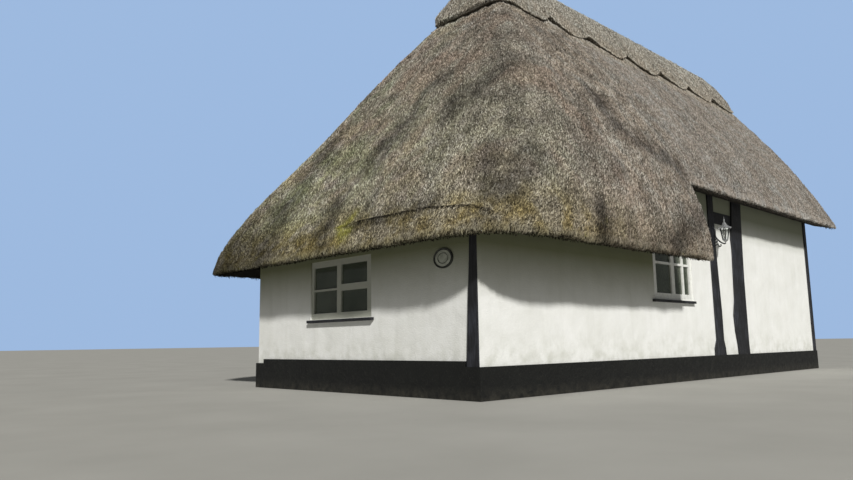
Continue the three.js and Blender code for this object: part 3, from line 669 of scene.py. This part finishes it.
def straw_finish(name, bed):
    """Weathered straw: pale grey-brown ends over dark gaps of painted shade, greener towards the rear of
    the hip and pinker along the front, ochre in patches near the low eave, painted shadow in dark
    streaks, mossy in one spot. The bed under the loose straws is the same straw, painted darker where it
    lies out of the daylight."""
    made, shader, draw = coating(name, 0.93, Specular_IOR_Level=0.15)
    along, across, height = draw.axis("X"), draw.axis("Y"), draw.axis("Z")
    over_eave = height - LOW_EAVE
    blotch = draw.grain(2.2, 4, 0.62)
    hue = draw.grain(3.3, 3, 0.6, shift=(7, 3, 5))
    tint = draw.grain(1.2, 3, 0.6, shift=(1, 8, 2))
    fleck = draw.grain(46, 2, 0.7)
    if bed:
        combed = draw.node("UVMap", uv_map="comb")
        streak = draw.grain(1.0, 3, 0.6, stretch=(52, 6, 1), place=combed)
        value = (fleck * 0.85 + streak * 0.3).rise(0.37, 0.80)
        # Painted shade: the bed's ramp runs darker than the loose straws', for the shade between them.
        stops = [(0, srgb(34, 32, 27)), (0.4, srgb(112, 107, 96)), (1, srgb(216, 210, 194))]
    else:
        value = draw.stored("tone") * 0.95 + (fleck - 0.5) * 0.4 + 0.03
        stops = [
            (0, srgb(46, 43, 37)),
            (0.25, srgb(130, 124, 112)),
            (0.6, srgb(210, 204, 188)),
            (1, srgb(255, 252, 240)),
        ]
    low_part = along.rise(STEP_X + 0.6, STEP_X - 0.6)
    evened = (1 - low_part) * height.rise(6.6, 6.2) * 0.3
    value = value + (0.52 - value) * evened + draw.stored("straw_band_and_ledge_shade") * 0.09
    straw = draw.node("ValToRGB", {"Fac": value}, stops=stops)

    hip = along.rise(-2.0, -3.6) * over_eave.rise(0.35, 1.05)
    to_rear = across.rise(-2.0, 1.0)
    near_eave = over_eave.rise(0.75, 0.25) * over_eave.rise(-0.05, 0.13) * low_part
    washes = [
        # Grey blotches on the low part
        (blotch.rise(0.40, 0.66) * low_part * height.rise(6.4, 6.2), (197, 197, 198)),
        # Yellow-green on the hip, and patches of green and of pink there
        (along.rise(-3.2, -5.0) * hue.rise(0.35, 0.60) * (to_rear * 0.5 + 0.5), (240, 243, 220)),
        (hip * tint.rise(0.50, 0.62) * to_rear, (239, 247, 234)),
        (hip * tint.rise(0.50, 0.38), (255, 245, 241)),
        # Pink along the front
        (along.rise(-5.2, -3.0) * hue.rise(0.70, 0.42) * height.rise(7.4, 6.1), (255, 244, 236)),
        # Ochre near the low eave, most of it round the near end
        (
            near_eave * (hue.rise(0.42, 0.60) * 0.7 + 0.3) * (along.rise(-2.6, -4.6) * 0.8 + 0.2),
            (242, 226, 186),
        ),
        # Painted shade: darker at the rear corner, and down to the low eave and under its lip
        (across.rise(0.9, 2.4) * over_eave.rise(1.55, 0.35) * low_part, (158, 158, 158)),
        (over_eave.rise(0.65, 0.30) * low_part, (238, 237, 234)),
        (over_eave.rise(0.15, 0.02) * low_part, (190, 188, 180)),
        # Cooler on the cap, on the raised stretches and along the front
        (height.rise(6.2, 6.3), (245, 248, 253)),
        ((1 - low_part) * height.rise(6.3, 6.0), (244, 248, 255)),
        (along.rise(-5.2, -3.8) * height.rise(6.3, 6.0), (236, 237, 242)),
        # Painted shadow in dark streaks
        (draw.stored("streak_shadow"), (177, 177, 179)),
    ]
    for amount, colour in washes:
        sockets = {0: 1.0, 6: straw, 7: srgb(*colour)}
        washed = draw.node("Mix", sockets, out=2, data_type="RGBA", blend_type="MULTIPLY")
        straw = amount.mix(straw, washed)
    spots = draw.grain(5.5, 4, 0.65).rise(0.66, 0.71) * over_eave.rise(0.40, 0.10) * low_part * 0.2
    moss = (draw.stored("moss") * 0.9 + spots).rise(0.0, 1.0)
    straw = moss.mix(straw, srgb(112, 110, 40) if bed else srgb(178, 176, 84))
    if bed:
        # Painted shade: the bed darkens to near black where its painted daylight is low.
        lit = draw.stored("daylit") * 0.88 + 0.12
        straw = lit.mix(srgb(16, 14, 11), straw)
        relief = bump(draw, streak * 0.3 + fleck * 0.8, 0.018, 1.0)
    else:
        relief = bump(draw, fleck, 0.004, 0.5)
    connect(shader, Base_Color=straw, Normal=relief)
    return made


bed_straw = straw_finish("bed_straw", True)
for node, (coat, *_) in stretches.items():
    coat.data.materials.append(bed_straw)
    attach(coat, "root")
    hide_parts(node)


# The straws themselves: cut ends that stand proud of the coat all over it, each a slim closed wedge
# rooted in the thatch and ending bluntly down the slope, trimmed along every eave, and below the
# eaves short ends hanging from the butt, given dark tones as painted shade under the lip.
rng = np.random.default_rng(11)
ROOTED = 0.012
THIRD_OF_A_TURN = 2.1
PLUMB = np.array([0.0, 0.0, -1.0])


def scatter(s, grid, count):
    """Random places spread evenly over a [column, row] grid: the point, the way down the slope, the
    way out and the place on the comb, blended between the four corners of the cell it falls in."""
    a = np.linalg.norm(np.diff(grid, axis=0)[:, :-1], axis=-1)
    b = np.linalg.norm(np.diff(grid, axis=1)[:-1], axis=-1)
    share = np.cumsum((a * b).ravel())
    cell = np.searchsorted(share, rng.random(count) * share[-1])
    i, j = np.unravel_index(np.minimum(cell, len(share) - 1), a.shape)
    u, v = rng.random((2, count, 1))
    normal = outward(grid)

    def blend(values):
        low = values[i, j] * (1 - u) + values[i + 1, j] * u
        high = values[i, j + 1] * (1 - u) + values[i + 1, j + 1] * u
        return low * (1 - v) + high * v

    down = unit(grid[i, j] - grid[i, j + 1])
    return blend(grid), down, blend(normal), blend(comb_of(s, grid))


def straws(name, root, way, out, comb, length, width, lift, tones=(0.0, 1.0)):
    """Closed wedges, one for each root: a point set a little into the thatch, and a three-cornered
    blunt end that lies its length along its way and its lift outwards. Each has a tone of its own,
    from dark at 0 to pale at 1, and its own small square of the map that its looks are baked to."""
    side = unit(np.cross(out, way))
    end = root + way * length[:, None] + out * lift[:, None]
    spin = rng.random(len(root)) * THIRD_OF_A_TURN
    ring = [
        end + width[:, None] / 2 * (np.cos(spin + k)[:, None] * side + np.sin(spin + k)[:, None] * out)
        for k in (0, THIRD_OF_A_TURN, 2 * THIRD_OF_A_TURN)
    ]
    points = np.stack([root - out * ROOTED, *ring], 1).reshape(-1, 3)
    base = np.arange(len(root))[:, None, None] * 4
    faces = (base + np.array([[0, 2, 1], [0, 3, 2], [0, 1, 3], [1, 2, 3]])).reshape(-1, 3)
    made = sheet_of(name, points, faces)
    tone = np.repeat(rng.uniform(*tones, len(root)), 4)
    made.data.attributes.new("tone", "FLOAT", "POINT").data.foreach_set("value", tone.astype(np.float32))
    mark(made.data, np.repeat(root, 4, axis=0), np.repeat(comb, 4, axis=0))
    in_row = math.ceil(math.sqrt(len(root)))
    number = np.arange(len(root))
    square = np.stack([number % in_row, number // in_row], 1)[:, None]
    patch = [[0.5, 0.9], [0.1, 0.1], [0.9, 0.1], [0.5, 0.2]]
    places = ((square + patch) / in_row).reshape(-1, 2)[faces.ravel()]
    made.data.uv_layers.new(name="OFBake").uv.foreach_set("vector", places.astype(np.float32).ravel())
    made.data.materials.append(loose_straw)
    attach(made, "root")
    return made


def room_to_fall(root, way, foot):
    """How long a straw can be and end near the edge below it: 12 mm above to 22 mm under it."""
    spare = root[:, 2] - foot + rng.uniform(-0.012, 0.022, len(root))
    return np.maximum(spare / np.maximum(-way[:, 2], 0.2), 0.008)


def swing(way, out, spread):
    """The way, turned about the outward direction by a random small angle."""
    side = np.cross(out, way)
    angle = rng.normal(0, spread, len(way))[:, None]
    return way * np.cos(angle) + side * np.sin(angle)


loose_straw = straw_finish("loose_straw", False)

# How many straws lie on each stretch, and how many trim its eave.
STRAWS = {
    "near_hip_thatch": (44500, 5400),
    "front_thatch_low": (39000, 4200),
    "front_thatch_raised": (40000, 4800),
    "rear_thatch_low": (11500, 1800),
    "rear_thatch_raised": (11500, 1800),
}
THINNED_BY = 1
for node, (_, s, grid, _, foot_z) in stretches.items():
    count = STRAWS[node][0] // THINNED_BY
    root, way, out, comb = scatter(s, grid, count)
    way = swing(way, out, 0.42)
    length = np.minimum(rng.uniform(0.018, 0.060, count), room_to_fall(root, way, foot_z))
    ledge = ledge_height(root[:, 1])
    over_ledge = (root[:, 2] > ledge) & (on_ledge(root) > 0.3)
    length = np.where(over_ledge, np.minimum(length, room_to_fall(root, way, ledge)), length)
    width = rng.uniform(0.010, 0.021, count)
    straws(node + "_straws", root, way, out, comb, length, width, rng.uniform(0.001, 0.013, count))

for node, (_, s, grid, butt, foot_z) in stretches.items():
    count = STRAWS[node][1]
    root, way, out, comb = scatter(s, grid[:, :8], count)
    way = swing(way, out, 0.3)
    length = np.minimum(rng.uniform(0.02, 0.07, count), room_to_fall(root, way, foot_z))
    width = rng.uniform(0.009, 0.018, count)
    lift = rng.uniform(0.0, 0.012, count)
    straws(node + "_trim", root, way, out, comb, length, width, lift, tones=(0.05, 1.0))
    # Painted shade: short ends hang from the butt with only the darkest tones, for the shade under the lip.
    few = count // 4
    root, way, out, comb = scatter(s, butt[:, 2:], few)
    hanging = unit(PLUMB + 0.5 * rng.normal(size=(few, 3)) * [1, 1, 0.2])
    length = rng.uniform(0.01, 0.05, few)
    width = rng.uniform(0.008, 0.016, few)
    lift = rng.uniform(0.0, 0.004, few)
    straws(node + "_beard", root, hanging, out, comb, length, width, lift, tones=(0.0, 0.12))


# The ridge cap: a second coat of sedge bent over the crest and cut square across its foot, in shallow
# scallops with upward cusps along both slopes and level round the hip, where it is thickest.
LOW_POINTS = (-2.03, -0.92, 0.53, 1.87, 3.22, 4.48, 5.72, 7.00)
CAP_EDGE = 6.24
CUSP_RISE = 0.27
HIP_RISE = 0.09
CAP_ROUND = 0.018
CROWN_FOOT, CREST = span("ridge_cap", "Z")
CROWN_HEIGHT = (CROWN_FOOT, 7.26, CREST)
CROWN_HALF = (span("ridge_cap", "Y")[1], 0.38, 0.04)


def cap_edge(x):
    """The height of the cap's foot: an arch of a cosine between each two low points, which were cut
    by eye and so lie unevenly, and level round the hip."""
    arch = np.interp(x, LOW_POINTS, np.arange(len(LOW_POINTS)))
    arches = CAP_EDGE + CUSP_RISE * (1 - np.abs(np.cos(np.pi * arch)))
    hip = CAP_EDGE + HIP_RISE * np.clip((LOW_POINTS[0] - x) / 0.6, 0, 1) ** 2
    return np.where(x < LOW_POINTS[0], hip, arches)


def round_hip(s):
    """1 over the hip and its two corners, fading to 0 on the slopes."""
    return np.clip(1.25 - np.abs(s - MIDDLE_OF_HIP), 0, 0.25) * 4


def cap_point(s, height, sunk=0.0):
    """A point on the cap's outside at that height, moved level inwards by so much. Its section is a
    quadratic curve of height and half width, from the crown's foot to the crest. At the rear corner
    it drops plumb over the lowest 0.33 m."""
    turn = np.linspace(0, 1, 1001)
    rear_corner = np.clip((s - 1.7) / 0.3, 0, 1) * np.clip((3.4 - s) / 0.4, 0, 1)
    shaped = np.maximum(height, CROWN_FOOT + 0.33 * rear_corner)
    half = np.interp(shaped, slope(*CROWN_HEIGHT, turn), slope(*CROWN_HALF, turn))
    t = t_at(shaped)
    near = roof_near(t) - (half - roof_half(t)) + sunk
    half = half - sunk
    return roof_point(s, t, 0, half, near, np.where(s < MIDDLE_OF_HIP, 0.12, 0.3) * half, height)


def ridge_cap():
    """The cap, closed: up its outside to the crest, straight down inside, out along its foot, which
    is cut square, and round its lower lip. Returns the object, its columns' s and its outside."""
    s = np.linspace(0, 7, 561)[:, None]
    edge = np.full_like(s, 6.3)
    for _ in range(4):
        edge = cap_edge(cap_point(s, edge)[..., 0])
    brow = edge + 0.012 + 0.055 * round_hip(s)
    thin = 0.05 * (1 - round_hip(s))
    rise = np.concatenate([np.linspace(0, 0.93, 27), [0.97, 0.99, 1.0]])[None]
    height = brow + CAP_ROUND + (CREST - 0.005 - brow - CAP_ROUND) * rise
    outside = cap_point(s, height, thin * np.exp(-(((height - brow - CAP_ROUND) / 0.14) ** 2)))
    swell = 0.014 * np.exp(-(((height - edge - 0.12) / 0.12) ** 2))
    proud = tussocks(outside, comb_of(s, outside)) + swell + 0.012 * soft_noise(outside * [4, 4, 2], 12)
    out = outward(outside)
    out[:, -3:] = [0, 0, 1]
    shown = outside + out * proud[..., None]
    lip_height = brow + CAP_ROUND * (1 - np.cos(LIP_TURN))
    lip = cap_point(s, lip_height, thin + CAP_ROUND * (1 - np.sin(LIP_TURN)))
    lip = lip + (shown - outside)[:, :1] * np.sin(LIP_TURN)[..., None]
    lip = lip + 0.006 * soft_noise(lip * 25, 9)[..., None] * [0, 0, 1]
    cut = cap_point(s, edge + (brow - edge) * np.array([[0.0, 0.5]]), thin + np.array([[0.06, 0.04]]))
    cut = cut + 0.006 * soft_noise(cut * 25, 10)[..., None] * [0, 0, 1]
    rooted = cap_point(s, edge - 0.02, 0.18)
    shown = np.concatenate([shown, shown[:, -1:] * [1, 0, 1] + [0, 0, 0.004]], 1)
    core = shown[:, -1:] - [[[0, 0, 0.4], [0, 0, 0.81]]]
    ring = np.concatenate([shown, core, rooted, cut, lip], 1)
    comb = comb_of(s, np.concatenate([ring, ring[:, :1]], 1))
    made = close_ring("ridge_cap_coat", ring, comb, shown.shape[1], 6, 0.5, cut=(0, -1))
    mark(made.data, ring, comb[:, :-1])
    return made, s, np.concatenate([lip, shown], 1)


cap, s, cap_grid = ridge_cap()
cap.data.materials.append(bed_straw)
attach(cap, "root")
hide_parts("ridge_cap")
count = 26000
root, way, out, comb = scatter(s, cap_grid, count)
way = swing(way, out, 0.5)
room = room_to_fall(root, way, cap_edge(root[:, 0]) + 0.03)
length = np.minimum(rng.uniform(0.018, 0.060, count), room)
width = rng.uniform(0.010, 0.020, count)
lift = rng.uniform(0.002, 0.014, count)
straws("ridge_cap_straws", root, way, out, comb, length, width, lift)
count = 3200
root, way, out, comb = scatter(s, cap_grid[:, :6], count)
way = swing(way, out, 0.4)
room = room_to_fall(root, way, cap_edge(root[:, 0]) + 0.008)
length = np.minimum(rng.uniform(0.02, 0.07, count), room)
width = rng.uniform(0.008, 0.016, count)
straws("ridge_cap_trim", root, way, out, comb, length, width, rng.uniform(0, 0.008, count))


# The lantern: a six-sided cast lamp, pewter over black, with tapering panes round a white bulb, held
# from below by a black scroll screwed to the left post.
LAMP_AT = np.array([sum(span("lantern", axis)) / 2 for axis in "XY"] + [0.0])
POST_FACE_Y = span("left_post", "Y")[0]
LAMP_SIDES = 6
HALF_SIDE = math.pi / LAMP_SIDES


def joined(name, parts, crease=45):
    """One object of several closed parts, each given as points and faces. A part is turned over if
    its volume, summed over the fans of its faces, comes out negative. Edges over the crease are sharp."""
    points, faces = [], []
    for part_points, part_faces in parts:
        volume = 0.0
        for first, *others in part_faces:
            for second, third in zip(others, others[1:]):
                volume += part_points[first] @ np.cross(part_points[second], part_points[third])
        way = 1 if volume > 0 else -1
        faces += [tuple(len(points) + corner for corner in face)[::way] for face in part_faces]
        points += part_points.tolist()
    mesh = bpy.data.meshes.new(name)
    mesh.from_pydata(points, [], faces)
    mesh.shade_smooth()
    mesh.set_sharp_from_angle(angle=math.radians(crease))
    return add(name, mesh)


def turned(name, profile, sides, spin=0.0):
    """A closed shape of revolution about the lamp's axis: a profile of radius and height from the
    bottom to the top, both ends on the axis, at that number of sides."""
    rings = np.array(profile[1:-1])
    angle = spin + 2 * np.pi * np.arange(sides) / sides
    circle = np.stack([np.cos(angle), np.sin(angle)], -1)
    level = np.broadcast_to(rings[:, None, 1:], (len(rings), sides, 1))
    body = np.concatenate([rings[:, None, :1] * circle[None], level], -1).reshape(-1, 3)
    poles = [[0, 0, profile[0][1]], [0, 0, profile[-1][1]]]
    j, k = np.meshgrid(np.arange(len(rings) - 1), np.arange(sides), indexing="ij")
    m = (k + 1) % sides
    quads = np.stack([j * sides + k, j * sides + m, (j + 1) * sides + m, (j + 1) * sides + k], -1)
    last = (len(rings) - 1) * sides
    fans = [(len(body), (n + 1) % sides, n) for n in range(sides)]
    fans += [(len(body) + 1, last + n, last + (n + 1) % sides) for n in range(sides)]
    return joined(name, [(np.concatenate([body, poles]) + LAMP_AT, quads.reshape(-1, 4).tolist() + fans)], 25)


def tube(path, radius, sides=8):
    """Points and faces of a closed tube along a path. Each ring lies square to the path there."""
    path = np.asarray(path, float)
    ahead = unit(np.gradient(path, axis=0))
    reference = np.array([1.0, 0, 0]) if abs(ahead[0, 0]) < 0.9 else np.array([0, 1.0, 0])
    one = unit(np.cross(ahead, reference))
    two = np.cross(ahead, one)
    angle = 2 * np.pi * (np.arange(sides) + 0.5) / sides
    ring = np.cos(angle)[None, :, None] * one[:, None] + np.sin(angle)[None, :, None] * two[:, None]
    points = (path[:, None] + radius * ring).reshape(-1, 3)
    return points, ring_faces(len(path), sides)


def ring_faces(rings, sides):
    """The faces of a closed shape of so many rings of points, one after another, with flat ends."""
    faces = [tuple(range(sides))[::-1], tuple(range((rings - 1) * sides, rings * sides))]
    for row in range(rings - 1):
        for k in range(sides):
            a, b = row * sides + k, row * sides + (k + 1) % sides
            faces.append((a, b, b + sides, a + sides))
    return faces


def eased(values, count=40):
    """Values given at even steps, drawn out to that count and rounded by a short running mean."""
    fine = np.interp(np.linspace(0, 1, 400), np.linspace(0, 1, len(values)), values)
    soft = np.convolve(np.pad(fine, 24, mode="edge"), np.ones(49) / 49, mode="valid")
    soft[0], soft[-1] = fine[0], fine[-1]
    return np.interp(np.linspace(0, 1, count), np.linspace(0, 1, 400), soft)


def curl(centre_y, centre_z, start, sweep, outer):
    """A flat spiral whose radius falls evenly from its outer value to a quarter of it."""
    turn = np.linspace(0, 1, 26)
    radius = outer * (1 - 0.75 * turn)
    angle = start + sweep * turn
    y = centre_y + radius * np.cos(angle)
    z = centre_z + radius * np.sin(angle)
    return np.stack([np.full(26, LAMP_AT[0]), y, z], -1)


pewter, shader, draw = coating("pewter", 0.38, Metallic=0.55)
tarnish = draw.grain(55, 3, 0.6).rise(0.38, 0.66)
connect(shader, Base_Color=tarnish.mix(srgb(206, 208, 210), srgb(112, 114, 118)))
black_iron, shader, draw = coating("black_iron", 0.45, Metallic=0.3)
connect(shader, Base_Color=draw.grain(60, 3).rise(0.4, 0.7).mix(srgb(26, 27, 30), srgb(66, 68, 74)))
lamp_pane, shader, draw = coating("lamp_pane", 0.06, Transmission_Weight=1.0, IOR=1.1)
connect(shader, Base_Color=draw.grain(26, 2).rise(0.3, 0.7).mix(srgb(240, 244, 245), srgb(250, 252, 252)))
bulb_glass, shader, draw = coating("bulb_glass", 0.2)
connect(shader, Base_Color=draw.grain(30, 2).rise(0.3, 0.7).mix(srgb(250, 248, 240), srgb(238, 236, 228)))

lamp_roof = turned("lamp_roof", [
    (0, 2.588), (0.096, 2.588), (0.126, 2.594), (0.124, 2.604), (0.098, 2.616), (0.070, 2.632),
    (0.046, 2.656), (0.030, 2.678), (0.032, 2.688), (0.016, 2.698), (0.009, 2.722), (0.017, 2.738),
    (0.008, 2.754), (0.005, 2.780), (0, 2.81),
], LAMP_SIDES, HALF_SIDE)
lamp_foot = turned("lamp_foot", [
    (0, 2.318), (0.008, 2.324), (0.013, 2.334), (0.007, 2.344), (0.012, 2.352), (0.034, 2.366),
    (0.046, 2.374), (0.049, 2.386), (0, 2.390),
], LAMP_SIDES, HALF_SIDE)
pane_profile = [(0, 2.392), (0.040, 2.392), (0.074, 2.585), (0, 2.585)]
panes = turned("lamp_panes", pane_profile, LAMP_SIDES, HALF_SIDE)
bulb = turned("lamp_bulb", [
    (0, 2.396), (0.013, 2.397), (0.014, 2.440), (0.020, 2.462), (0.023, 2.490), (0.019, 2.520),
    (0.008, 2.538), (0, 2.542),
], 12)
bar_ends = ((0.043, 2.386), (0.080, 2.592))
corner_bars = []
for angle in HALF_SIDE * (1 + 2 * np.arange(LAMP_SIDES)):
    across, back = math.cos(angle), math.sin(angle)
    path = [LAMP_AT + [across * radius, back * radius, height] for radius, height in bar_ends]
    corner_bars.append(tube(path, 0.0075, 4))
cage = joined("lamp_cage", corner_bars)

stem_y = eased([POST_FACE_Y + 0.002, -2.488, -2.497, -2.492, -2.522, -2.589, -2.641, -2.668])
stem_z = eased([2.640, 2.606, 2.566, 2.478, 2.421, 2.352, 2.324, 2.326])
plate_y = (POST_FACE_Y - 0.008, POST_FACE_Y)
corners = [(x, y, z) for z in (2.27, 2.66) for y in plate_y for x in (0.790, 0.840)]
box_faces = [(0, 1, 3, 2), (4, 6, 7, 5), (0, 4, 5, 1), (2, 3, 7, 6), (0, 2, 6, 4), (1, 5, 7, 3)]
scroll = joined("lamp_scroll", [
    tube(np.stack([np.full(40, LAMP_AT[0]), stem_y, stem_z], -1), 0.013),
    tube(curl(-2.512, 2.385, math.pi / 2, -1.6 * math.pi, 0.036), 0.0105),
    tube(curl(-2.560, 2.300, 0.75 * math.pi, 1.5 * math.pi, 0.030), 0.010),
    tube([(LAMP_AT[0], POST_FACE_Y - 0.006, 2.300), (LAMP_AT[0], -2.545, 2.330)], 0.009),
    (np.array(corners), box_faces),
])
finishes = {
    lamp_roof: pewter,
    lamp_foot: pewter,
    cage: black_iron,
    panes: lamp_pane,
    bulb: bulb_glass,
    scroll: black_iron,
}
for piece, material in finishes.items():
    piece.data.materials.append(material)
    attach(piece, "root")
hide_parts("lantern")
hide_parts("lantern_bracket")

# The plaque: a bare oval of pale glazed ware with a thin dark rim and a faint inner ring, held flat
# to the end wall.
PLAQUE_BACK_X = span("wall_plaque", "X")[1]
PLAQUE_MIDDLE = [sum(span("wall_plaque", axis)) / 2 for axis in "YZ"]
PLAQUE_HALF = [np.ptp(span("wall_plaque", axis)) / 2 for axis in "YZ"]


def oval(name, profile, sides=64):
    """A closed oval plate: a profile of radius, as a share of the plaque's, and of how far it stands
    off the wall, from the back round the rim to the middle of the face."""
    rows = np.array(profile)
    angle = 2 * np.pi * np.arange(sides) / sides
    y = PLAQUE_MIDDLE[0] + PLAQUE_HALF[0] * rows[:, :1] * np.cos(angle)
    z = PLAQUE_MIDDLE[1] + PLAQUE_HALF[1] * rows[:, :1] * np.sin(angle)
    x = np.broadcast_to(PLAQUE_BACK_X - rows[:, 1:], y.shape)
    points = np.stack([x, y, z], -1).reshape(-1, 3)
    return joined(name, [(points, ring_faces(len(rows), sides))])


rim = oval("plaque_rim", [
    (0.90, 0.0), (1.0, 0.0), (1.0, 0.012), (0.985, 0.017), (0.955, 0.019), (0.92, 0.017),
    (0.90, 0.013),
])
face = oval("plaque_face", [
    (0.895, 0.0), (0.895, 0.011), (0.80, 0.013), (0.60, 0.0135), (0.58, 0.0165), (0.55, 0.0165),
    (0.53, 0.0135), (0.30, 0.0145),
])
rim_glaze, shader, draw = coating("rim_glaze", 0.35)
connect(shader, Base_Color=draw.grain(40, 3).rise(0.35, 0.7).mix(srgb(34, 36, 32), srgb(62, 64, 56)))
pale_glaze, shader, draw = coating("pale_glaze", 0.3)
glaze = draw.grain(22, 4, 0.6).rise(0.35, 0.7).mix(srgb(192, 195, 182), srgb(152, 156, 142))
# How far out from its middle a point of the face lies, as a share of the plaque's own radius
reach = np.array([0.1, *PLAQUE_HALF])
start = -np.array([PLAQUE_BACK_X, *PLAQUE_MIDDLE]) / reach
sockets = {"Vector": draw.node("TexCoord", out="Object"), "Location": start, "Scale": 1 / reach}
share = draw.node("VectorMath", {0: draw.node("Mapping", sockets)}, out=1, operation="LENGTH")
painted = share.rise(0.46, 0.49) * share.rise(0.59, 0.56)
connect(shader, Base_Color=(painted * 0.8).mix(glaze, srgb(72, 76, 66)))
for piece, material in ((rim, rim_glaze), (face, pale_glaze)):
    piece.data.materials.append(material)
    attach(piece, "root")
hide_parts("wall_plaque")
